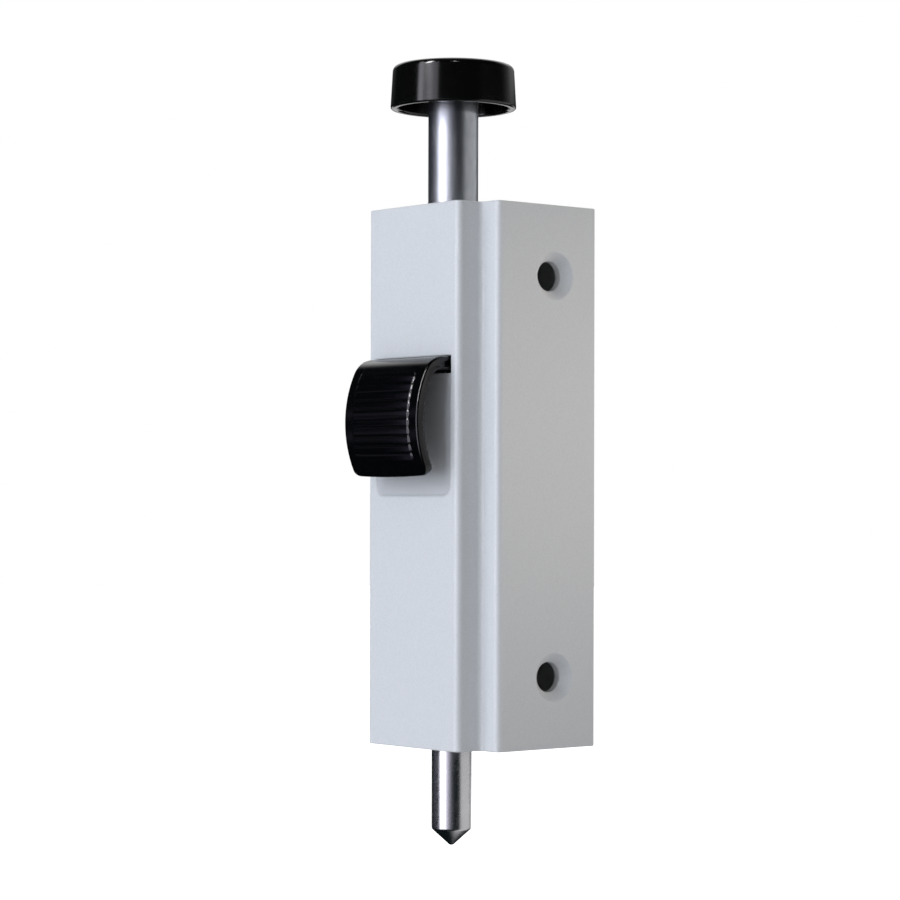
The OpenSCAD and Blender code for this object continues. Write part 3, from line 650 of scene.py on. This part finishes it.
class PATIOLOCK_OT_rods(Operator):
    """Plated plunger rod and the pointed bolt below it"""

    bl_idname = "patio_lock.rods"
    bl_label = "Rod and bolt"

    def execute(self, context):
        self.rod()
        self.bolt()
        return {"FINISHED"}

    def rod(self):
        """The plunger's rod, with grooves for the ring and the latch and a bore for the bolt."""
        size = settings().rod
        low, high = ROD_LOW.z, ROD_HIGH.z
        shoulder = KNOB_LOW.z + settings().knob.hub_recess
        bore_top = BOLT_HIGH.z + size.spigot_room
        bore = size.spigot_radius + size.spigot_gap
        ring_low, ring_high = (c.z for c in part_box("retaining_ring"))
        latch_low, latch_high = (c.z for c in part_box("latch_plate"))
        groove_low = latch_low + STROKE - size.groove_below
        groove_high = latch_high + STROKE + size.groove_above
        r = size.rod_radius
        bm = spun([
            (0, high), (size.tang_radius, high), (size.tang_radius, shoulder), (r, shoulder),
            (r, ring_high), (size.ring_groove_radius, ring_high),
            (size.ring_groove_radius, ring_low), (r, ring_low),
            (r, groove_high), (size.groove_radius, groove_high),
            (size.groove_radius, groove_low), (r, groove_low),
            (r, low), (bore, low), (bore, bore_top), (0, bore_top)])
        for radius, z in ((size.tang_radius, high), (r, low), (r, groove_low)):
            rounded(bm, ring_edges(bm, radius, z), size.edge_round)
        made = piece(bm, "plated_plunger_rod", "plunger", bright_zinc(),
                     ["plunger_rod"])
        self.pin_hole(made, r)

    def bolt(self):
        """The bolt, with a slimmer shank in the housing and a spigot in the rod."""
        size = settings().rod
        low, high = BOLT_LOW.z, BOLT_HIGH.z
        cone = low + size.point_height
        r = size.bolt_radius
        top = CASE_LOW.z - size.bolt_start
        joint = ROD_LOW.z
        bm = spun([
            (0, high), (size.spigot_radius, high), (size.spigot_radius, joint),
            (size.shank_radius, joint), (size.shank_radius, top), (r, top), (r, cone),
            (size.point_radius, low), (0, low)])
        rounded(bm, ring_edges(bm, r, cone), size.edge_round, segments=4)
        rounded(bm, ring_edges(bm, size.point_radius, low), size.tip_round)
        rounded(bm, ring_edges(bm, size.spigot_radius, high), size.edge_round)
        made = piece(bm, "pointed_bolt", "plunger", ground_nickel(), ["bolt_pin"])
        self.pin_hole(made, r)

    def pin_hole(self, made, r):
        """Drills the hole for the cross pin, twice as long as the piece is wide."""
        pin_low, pin_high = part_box("cross_pin")
        drilled(made, (pin_low + pin_high) / 2, settings().rod.pin_hole_radius, 4 * r, "X")


class PATIOLOCK_OT_lever(Operator):
    """Release lever: a bowed plate with grip ribs, bent over to the foot that enters the housing"""

    bl_idname = "patio_lock.lever"
    bl_label = "Release lever"

    def execute(self, context):
        size = settings().lever
        self.size = size
        self.face = CASE_LOW.y
        self.top = LEVER_HIGH.z
        self.mid = (LEVER_LOW.x + LEVER_HIGH.x) / 2
        self.half = (LEVER_HIGH.x - LEVER_LOW.x) / 2
        self.bow = Vector((self.mid, self.face + size.bow_radius - size.reach,
                           self.top - size.bow_drop))
        bm = self.side_view()
        self.across(bm)
        self.rib(bm)
        self.corners(bm)
        bmesh.ops.recalc_face_normals(bm, faces=bm.faces)
        colours = settings().finish
        black = moulded_black("moulded_nylon_black", colours.lever, rough_low=0.15,
                              rough_high=0.20, peel_mm=0.5, sheen_tint=tuple(colours.lever_rib_sheen))
        made = piece(bm, "ribbed_release_lever", "lever", black,
                     ["release_lever"], sharp=BOW_SHADE_TURN)
        self.arms(made)
        return {"FINISHED"}

    def touching(self, gap, height):
        """Centre of an arc that touches another about the bow's centre, at a height."""
        y = self.bow.y - math.sqrt(gap ** 2 - (height - self.bow.z) ** 2)
        return Vector((self.mid, y, height))

    def side_view(self):
        """Draws the side view as one closed loop of edges at the lever's right side."""
        size = self.size
        bm = bmesh.new()
        inner = size.bow_radius - size.thickness
        bend = self.touching(size.bow_radius - size.bend_radius, self.top - size.bend_radius)
        under_z = self.top - size.foot_thickness
        under = self.touching(inner - size.under_radius, under_z - size.under_radius)
        pin = self.pin()
        rear = self.face + size.wide_depth

        def slope(centre):
            """Angle of a point seen from the bow's centre, up from the front."""
            return math.atan2(centre.z - self.bow.z, self.bow.y - centre.y)

        def outward(angle, distance):
            """The point at an angle and a distance from the bow's centre."""
            return self.bow + distance * Vector((0, -math.cos(angle), math.sin(angle)))

        # The lower end is cut square to the bow and has two round edges
        front_r, rear_r = size.bow_radius - size.end_round, inner + size.end_round
        low = self.top - size.height + size.end_round
        front_a = -math.asin((self.bow.z - low) / front_r)
        end_a = front_a - math.asin(size.end_round / front_r)
        rear_a = end_a + math.asin(size.end_round / rear_r)
        front, back = outward(front_a, front_r), outward(rear_a, rear_r)
        down = Vector((0, -math.sin(end_a), -math.cos(end_a)))
        bend_a, under_a = slope(bend), slope(under)
        steps = round(size.bow_radius * (bend_a - front_a) / FINE_STEP)
        inner_steps = round(inner * (under_a - rear_a) / COARSE_STEP)
        bend_steps, end_steps, hollow_steps, pin_steps = 14, 7, 10, 12
        start = bm.verts.new((self.mid + self.half, bend.y, self.top))
        last = self.swing(bm, start, bend, math.pi / 2 - bend_a, bend_steps)
        last = self.swing(bm, last, self.bow, bend_a - front_a, steps)
        last = self.swing(bm, last, front, math.pi / 2 + front_a - end_a, end_steps)
        last = self.line(bm, last, back + down * size.end_round)
        last = self.swing(bm, last, back, math.pi / 2 + end_a - rear_a, end_steps)
        last = self.swing(bm, last, self.bow, rear_a - under_a, inner_steps)
        last = self.swing(bm, last, under, under_a - math.pi / 2, hollow_steps)
        for y in (rear, rear + size.foot_step, pin.y):
            last = self.line(bm, last, Vector((0, y, last.co.z)))
        last = self.swing(bm, last, pin, math.pi, pin_steps, turn=-1)
        for y in (rear + size.foot_step, rear):
            last = self.line(bm, last, Vector((0, y, last.co.z)))
        bm.edges.new((last, start))
        return bm

    def pin(self):
        """Middle of the hinge pin."""
        size = self.size
        return Vector((self.mid, self.face + size.pin_depth, self.top - size.foot_thickness / 2))

    def swing(self, bm, vert, centre, angle, steps, turn=1):
        """Draws an arc from a vertex about a centre and gives its last vertex."""
        at = Vector((vert.co.x, centre.y, centre.z))
        swept = bmesh.ops.spin(bm, geom=[vert], cent=at, axis=(1, 0, 0), angle=turn * angle,
                               steps=max(1, steps))
        return next(g for g in swept["geom_last"] if isinstance(g, bmesh.types.BMVert))

    def line(self, bm, vert, to):
        """Draws a straight edge to a depth and a height."""
        end = bm.verts.new((vert.co.x, to.y, to.z))
        bm.edges.new((vert, end))
        return end

    def across(self, bm):
        """Draws the side view across the lever, closes both sides and rounds their edges."""
        size = self.size
        rib_end = self.half - size.rib_border
        # Places across one half of the lever, closest together where the ribs end
        outer, inside = rib_end + FINE_STEP, rib_end - size.rib_end - FINE_STEP
        stations = [self.half - size.corner_radius - FINE_STEP]
        stations += [outer + (inside - outer) * i / 14 for i in range(15)]
        stations += [inside * share for share in (0.75, 0.5, 0.25, 0)]
        stations += [-s for s in reversed(stations[:-1])] + [-self.half]
        loop = list(bm.edges)
        first = list(loop)
        x = self.half
        for station in stations:
            made = bmesh.ops.extrude_edge_only(bm, edges=loop)
            verts = {g for g in made["geom"] if isinstance(g, bmesh.types.BMVert)}
            loop = [g for g in made["geom"]
                    if isinstance(g, bmesh.types.BMEdge) and verts.issuperset(g.verts)]
            bmesh.ops.translate(bm, verts=list(verts), vec=(station - x, 0, 0))
            x = station
        bmesh.ops.edgeloop_fill(bm, edges=first)
        bmesh.ops.edgeloop_fill(bm, edges=loop)
        bmesh.ops.recalc_face_normals(bm, faces=bm.faces)
        rounded(bm, first + loop, size.side_round, segments=5, clamp=False)
        # Cuts that give the round lower corners their points, one for each 9 degrees
        for side in (-1, 1):
            for i in range(1, 6):
                x = self.mid + side * (self.half - size.corner_radius
                                       + size.corner_radius * math.sin(math.radians(9 * i)))
                bmesh.ops.bisect_plane(bm, geom=bm.verts[:] + bm.edges[:] + bm.faces[:],
                                       dist=WELD, plane_co=(x, 0, 0), plane_no=(1, 0, 0))

    def rib(self, bm):
        """Raises the low ribs with their round ends, and marks the painted sheen along their
        crests.
        """
        size = self.size
        rib_end = self.half - size.rib_border
        highest = math.asin((size.bow_drop - size.rib_drop) / size.bow_radius)
        pitch = size.rib_pitch / size.bow_radius
        # Shares of a rib's half width over which its crest is level, and its end square
        level, square = 0.4, 0.3
        # Painted sheen on the rib crests, strongest at their ends and fading inwards
        rib_sheen = bm.verts.layers.float.new("rib_sheen")
        for vert in bm.verts:
            out = vert.co - self.bow
            out.x = 0
            if out.y > 0 or abs(out.length - size.bow_radius) > 2 * TOUCH:
                continue
            angle = math.atan2(out.z, -out.y)
            number = min(max(round((highest - angle) / pitch), 0), size.rib_count - 1)
            # 0 in the middle of a rib and 1 in the middle of the groove beside it
            across = 2 * abs(angle - highest + number * pitch) / pitch
            past_end = max(0, abs(vert.co.x - self.mid) - (rib_end - size.rib_end)) / size.rib_end
            crest = size.rib_height - size.groove_depth * eased((across - level) / (1 - level))
            # A rib's end is 30 % shorter at the groove than along its middle
            shorter = 0.3 * eased((across - square) / (1 - square))
            round_end = eased(1 - past_end / (1 - shorter))
            outer = (across - 1) * size.rib_pitch / 2 / size.rib_ease
            to_end = (rib_end - vert.co.x + self.mid) / size.sheen_reach
            on_crest = eased(1.3 - across * 1.5) * eased(1 - outer * 3)
            vert[rib_sheen] = on_crest * math.exp(-to_end) * min(round_end * 2, 1)
            vert.co += out.normalized() * crest * round_end * eased(1 - outer)

    def corners(self, bm):
        """Rounds the lower corners, and draws the foot in where it enters the housing."""
        size = self.size
        end_z = self.top - size.height
        narrow = size.foot_width / (2 * self.half)
        for vert in bm.verts:
            side = vert.co.x - self.mid
            past = min(max(abs(side) - self.half + size.corner_radius, 0), size.corner_radius)
            lift = size.corner_radius - math.sqrt(max(size.corner_radius ** 2 - past ** 2, 0))
            lift += size.edge_bow * (side / self.half) ** 2
            weight = eased(1 - (vert.co.z - end_z) / size.corner_fade)
            if lift * weight > 0:
                spin = Matrix.Rotation(-lift * weight / size.bow_radius, 3, "X")
                vert.co = self.bow + spin @ (vert.co - self.bow)
            if vert.co.y > self.face + size.wide_depth + TOUCH:
                vert.co.x = self.mid + side * narrow

    def arms(self, made):
        """Adds the two arms that push the latch plate, and the hinge pin's hole."""
        size = self.size
        latch_low, latch_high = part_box("latch_plate")
        pin = self.pin()
        width, depth = size.arm_width, size.arm_thickness
        y = self.face + size.arm_start + depth / 2
        low = (latch_low.z + latch_high.z - depth) / 2
        for side in (-1, 1):
            arm = bmesh.new()
            x = self.mid + side * (settings().rod.rod_radius + size.arm_gap + width / 2)
            place = Matrix.Translation((x, y, (low + pin.z) / 2))
            bmesh.ops.create_cube(
                arm, size=1, matrix=place @ Matrix.Diagonal((width, depth, pin.z - low, 1)))
            nose = [e for e in arm.edges if all(near(v.co.z, low) for v in e.verts)
                    and near(e.verts[0].co.y, e.verts[1].co.y)]
            rounded(arm, nose, size.nose_round, segments=6)
            merged(made, mesh_object(arm, "tool"), "UNION")
        drilled(made, pin, size.pin_radius, 4 * self.half, "Y")
        made.data.shade_smooth()
        made.data.set_sharp_from_angle(angle=math.radians(BOW_SHADE_TURN))


class PATIOLOCK_OT_back(Operator):
    """Back cover: the CAD sheet with its outer edges rounded"""

    bl_idname = "patio_lock.back"
    bl_label = "Back cover"

    def execute(self, context):
        bm = welded("back_cover")
        edges = sharp_edges(bm, lambda c: near(c.y, COVER_HIGH.y))
        if not edges:
            raise RuntimeError("no edge of the back cover passes the test")
        rounded(bm, edges, settings().case.cover_round)
        made = piece(bm, "back_cover_plate", "body", silver_enamel(), ["back_cover"])
        smooth_flats(made)
        return {"FINISHED"}


class PATIOLOCK_OT_insides(Operator):
    """Finishes of the pieces inside, which keep the CAD meshes"""

    bl_idname = "patio_lock.insides"
    bl_label = "Inner pieces"

    def execute(self, context):
        colours = settings().finish
        steel = small_steel("zinc_plated_steel", colours.steel, dullness=0.28, line_mm=0.3)
        blued = small_steel("blued_spring_steel", colours.blued, dullness=0.35, line_mm=0.4)
        wire = small_steel("drawn_spring_wire", colours.wire, dullness=0.3, line_mm=0.2)
        black = acetal("black_acetal", colours.acetal, dullness=0.42)
        natural = acetal("natural_acetal", colours.natural, dullness=0.45)
        finishes = (
            (steel, ("cover_screws", "guide_screws", "spring_washer", "spring_cup", "latch_plate",
                     "lever_pin")),
            (blued, ("retaining_ring", "cross_pin")),
            (black, ("top_bushing", "bottom_bushing")),
            (natural, ("latch_guide",)),
        )
        for material, nodes in finishes:
            for node in nodes:
                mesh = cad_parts[node].data
                mesh.materials.clear()
                mesh.materials.append(material)
        self.spring("return_spring", wire, "plunger_slide", Vector((0, 0, 1)), STROKE)
        self.spring("latch_spring", wire, "latch_slide", Vector((0, -1, 0)), LATCH_TRAVEL)
        return {"FINISHED"}

    def spring(self, node, material, joint, axis, travel):
        """A coil spring: the CAD mesh, welded and finished."""
        bm = bmesh.new()
        bm.from_mesh(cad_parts[node].data)
        bmesh.ops.remove_doubles(bm, verts=bm.verts, dist=WELD)
        bmesh.ops.recalc_face_normals(bm, faces=bm.faces)
        made = piece(bm, node + "_coil", "body", material, [node])
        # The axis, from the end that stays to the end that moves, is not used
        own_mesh(made)


class PATIOLOCK_OT_stage(Operator):
    """Camera, lamps, world and floor"""

    bl_idname = "patio_lock.stage"
    bl_label = "Stage"

    def execute(self, context):
        self.camera()
        self.lamps()
        self.world()
        self.floor()
        context.scene.view_settings.view_transform = "Standard"
        return {"FINISHED"}

    def camera(self):
        """The camera, which looks at the lock's middle from a little aside and below."""
        stage = settings().stage
        back = Vector((math.sin(stage.azimuth), -math.cos(stage.azimuth), 0))
        right = Vector((math.cos(stage.azimuth), math.sin(stage.azimuth), 0))
        up = Vector((0, 0, 1))
        middle = Vector((AXIS.x, CASE_LOW.y + stage.aim_depth, (CASE_LOW.z + CASE_HIGH.z) / 2))
        place = middle + back * stage.distance - right * stage.aside - up * stage.below
        ahead = up * math.sin(stage.pitch) - back * math.cos(stage.pitch)
        over = right.cross(ahead)
        across = right * math.cos(stage.roll) + over * math.sin(stage.roll)
        above = over * math.cos(stage.roll) - right * math.sin(stage.roll)
        data = bpy.data.cameras.new("camera")
        data.lens = stage.lens
        data.sensor_width = 36
        data.clip_start = 0.01
        data.clip_end = 100
        made = linked("camera", data)
        made.matrix_world = Matrix((
            (across.x, above.x, -ahead.x, place.x),
            (across.y, above.y, -ahead.y, place.y),
            (across.z, above.z, -ahead.z, place.z),
            (0, 0, 0, 1)))
        bpy.context.scene.camera = made

    def lamp(self, name, azimuth, elevation, distance, width, height, power, colour,
             shift=(0, 0, 0)):
        """A lamp that gloss doesn't show: angles in degrees, sizes in metres, shift in mm."""
        a, e = math.radians(azimuth), math.radians(elevation)
        away = Vector((math.sin(a) * math.cos(e), -math.cos(a) * math.cos(e), math.sin(e)))
        data = bpy.data.lights.new(name, "AREA")
        data.shape = "RECTANGLE"
        data.size, data.size_y = width, height
        data.energy = power
        data.color = linear(colour)
        made = linked(name, data)
        made.location = AXIS + away * distance + Vector(shift) * MM
        made.rotation_euler = away.to_track_quat("Z", "Y").to_euler()
        made.visible_glossy = False
        made.visible_camera = False
        return data

    def lamps(self):
        """The key light in front, a narrow beam across the right side, and a weak light behind."""
        self.lamp("key_softbox", azimuth=-3, elevation=8, distance=1.0, width=0.85, height=1.2,
                  power=9.7, colour="#EDF4FF")
        fill = self.lamp("side_fill", azimuth=150, elevation=6, distance=0.5, width=0.08,
                         height=0.08, power=0.0185, colour="#FFF6E8", shift=(0, -20, 10))
        fill.spread = math.radians(20)
        self.lamp("back_fill", azimuth=235, elevation=25, distance=1.4, width=0.9, height=0.9,
                  power=3.0, colour="#FFFFFF")

    def world(self):
        """White for the camera, even light for dull surfaces, and cards for gloss and metal."""
        world = bpy.data.worlds.new("studio")
        bpy.context.scene.world = world
        world.use_nodes = True
        tree = world.node_tree
        tree.nodes.clear()
        sky = add(tree, "ShaderNodeTexCoord").outputs["Generated"]
        way = add(tree, "ShaderNodeSeparateXYZ", {0: sky})
        back = add(tree, "ShaderNodeMath", {0: way.outputs[1], 1: -1.0},
                   operation="MULTIPLY").outputs[0]
        azimuth = add(tree, "ShaderNodeMath", {0: way.outputs[0], 1: back},
                      operation="ARCTAN2").outputs[0]
        height = add(tree, "ShaderNodeMath", {0: way.outputs[2]}, operation="ARCSINE").outputs[0]

        def between(value, low, high, soft):
            """1 where an angle is between two in degrees, with soft edges."""
            low, high, soft = math.radians(low), math.radians(high), math.radians(soft)
            rise = add(tree, "ShaderNodeMapRange", {0: value, 1: low - soft / 2, 2: low + soft / 2},
                       interpolation_type="SMOOTHSTEP").outputs[0]
            fall = add(tree, "ShaderNodeMapRange", {
                0: value, 1: high - soft / 2, 2: high + soft / 2, 3: 1.0, 4: 0.0},
                interpolation_type="SMOOTHSTEP").outputs[0]
            return add(tree, "ShaderNodeMath", {0: rise, 1: fall}, operation="MULTIPLY").outputs[0]

        # What gloss and metal show: azimuths with their softness, elevations with theirs, all in
        # degrees, then radiance and tint
        cards = (
            # Tall softbox in front, brighter at its left edge, with light that fades to its right
            (-19, -8, 4, -24, 30, 16, 3.7, "#F4F3FF"),
            (-19, 21, 5, -24, 30, 16, 1.8, "#F4F3FF"),
            (-2, 14, 14, -24, 30, 16, 2.9, "#F4F3FF"),
            (0, 38, 40, -19, 8, 2, 0.9, "#F0EEFF"),
            (0, 52, 50, 4.5, 8.5, 2, 0.42, "#EEF0FF"),
            (0, 48, 50, -19, 1, 3, 0.22, "#F0EEFF"),
            # Wall to the left, seen in the rod and the bolt
            (-74, -38, 10, 5, 8.5, 2, 0.16, "#E6E0FF"),
            (-74, -38, 10, -10, -4.5, 1.5, 0.13, "#E6E0FF"),
            # Lamps that the rounded edges show as sparks
            (-6, 4, 4, 19, 48, 6, 28, "#FFFFFF"),
            (-24, -19, 3, 34, 40, 3, 14, "#FFFFFF"),
            (50, 56, 3, 34, 42, 3, 14, "#FFFFFF"),
            # Room to the right
            (102, 186, 5, -100, 8.5, 2, 0.38, "#FFFFFF"),
            (102, 186, 5, 4.5, 8.5, 2, 1.5, "#FFFFFF"),
            (102, 186, 5, -100, -3, 3, 0.62, "#FFFFFF"),
            (55, 102, 10, 4.5, 8.5, 2, 0.06, "#FFFFFF"),
            # Room behind, seen at a low angle in the edges of the knob and the lever's bend
            (172, 230, 46, 10, 40, 2, 0.4, "#FFFFFF"),
            (-230, -140, 10, 10, 40, 2, 0.4, "#FFFFFF"),
            (-172, -96, 26, 20, 80, 26, 1.3, "#FFFFFF"),
            (-172, -105, 4, -14, -6, 2, 0.95, "#FFFFFF"),
        )
        total = None
        for az_low, az_high, az_soft, el_low, el_high, el_soft, radiance, code in cards:
            mask = add(tree, "ShaderNodeMath", {
                0: between(azimuth, az_low, az_high, az_soft),
                1: between(height, el_low, el_high, el_soft)}, operation="MULTIPLY").outputs[0]
            card = add(tree, "ShaderNodeVectorMath", {
                0: [c * radiance for c in linear(code)], 3: mask}, operation="SCALE").outputs[0]
            if total is None:
                total = card
            else:
                total = add(tree, "ShaderNodeVectorMath", {0: total, 1: card},
                            operation="MAXIMUM").outputs[0]
        # A faint blue light all round
        faint = (0.004, 0.008, 0.009)
        total = add(tree, "ShaderNodeVectorMath", {0: total, 1: faint}, operation="ADD").outputs[0]
        gloss = add(tree, "ShaderNodeBackground", {"Color": total, "Strength": 1.0})
        ambient = add(tree, "ShaderNodeBackground", {
            "Color": rgba((1, 1, 1)), "Strength": settings().stage.ambient})
        white = add(tree, "ShaderNodeBackground", {"Color": rgba((1, 1, 1)), "Strength": 1.0})
        path = add(tree, "ShaderNodeLightPath")
        bright = add(tree, "ShaderNodeMixShader", {
            0: path.outputs["Is Glossy Ray"], 1: ambient.outputs[0], 2: gloss.outputs[0]})
        seen = add(tree, "ShaderNodeMixShader", {
            0: path.outputs["Is Camera Ray"], 1: bright.outputs[0], 2: white.outputs[0]})
        add(tree, "ShaderNodeOutputWorld", {"Surface": seen.outputs[0]})

    def floor(self):
        """A large round floor of pale paper, which the camera sees as white."""
        stage = settings().stage
        bm = bmesh.new()
        place = Matrix.Translation((AXIS.x, AXIS.y, -stage.floor_drop))
        bmesh.ops.create_circle(bm, cap_ends=True, segments=TURN_STEPS, radius=stage.floor_radius,
                                matrix=place)
        made = mesh_object(bm, "pale_floor")
        material, tree, place = new_material("pale_paper_floor")
        paper = add(tree, "ShaderNodeTexNoise", {"Vector": place, "Scale": grain(40),
                                                 "Detail": 2.0})
        base = add(tree, "ShaderNodeMix", {
            0: paper.outputs[0], 6: rgba((1, 1, 1), 0.80), 7: rgba((1, 1, 1), 0.82)},
            data_type="RGBA").outputs[2]
        lit = add(tree, "ShaderNodeBsdfDiffuse", {"Color": base})
        glow = add(tree, "ShaderNodeEmission", {
            "Color": rgba((1, 1, 1)), "Strength": stage.floor_glow})
        shown = add(tree, "ShaderNodeAddShader", {0: lit.outputs[0], 1: glow.outputs[0]})
        path = add(tree, "ShaderNodeLightPath")
        shader = add(tree, "ShaderNodeMixShader", {
            0: path.outputs["Is Camera Ray"], 1: lit.outputs[0], 2: shown.outputs[0]})
        add(tree, "ShaderNodeOutputMaterial", {"Surface": shader.outputs[0]})
        made.data.materials.append(material)
        made.visible_glossy = False


class PATIOLOCK_PT_panel(Panel):
    """Sizes, colours and steps of the lock"""

    bl_idname = "PATIOLOCK_PT_panel"
    bl_label = "Patio Door Lock"
    bl_space_type = "VIEW_3D"
    bl_region_type = "UI"
    bl_category = "Patio Lock"

    def draw(self, context):
        layout = self.layout
        values = settings()
        for group in LockSettings.__annotations__:
            box = layout.box()
            box.label(text=group.title())
            part = getattr(values, group)
            for key in part.__annotations__:
                box.prop(part, key)
        for step in STEPS:
            layout.operator(step.bl_idname)


STEPS = (
    PATIOLOCK_OT_stage,
    PATIOLOCK_OT_housing,
    PATIOLOCK_OT_knob,
    PATIOLOCK_OT_rods,
    PATIOLOCK_OT_lever,
    PATIOLOCK_OT_back,
    PATIOLOCK_OT_insides,
)
CLASSES = (
    CaseSizes, KnobSizes, RodSizes, LeverSizes, FinishColours, StageSettings, LockSettings,
    *STEPS, PATIOLOCK_PT_panel,
)


def register():
    for item in CLASSES:
        bpy.utils.register_class(item)
    bpy.types.Scene.patio_lock = PointerProperty(type=LockSettings)


def unregister():
    del bpy.types.Scene.patio_lock
    for item in reversed(CLASSES):
        bpy.utils.unregister_class(item)


def main():
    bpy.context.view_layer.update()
    register()
    bpy.ops.patio_lock.stage()
    bpy.ops.patio_lock.housing()
    bpy.ops.patio_lock.knob()
    bpy.ops.patio_lock.rods()
    bpy.ops.patio_lock.lever()
    bpy.ops.patio_lock.back()
    bpy.ops.patio_lock.insides()


if __name__ == "__main__":
    main()
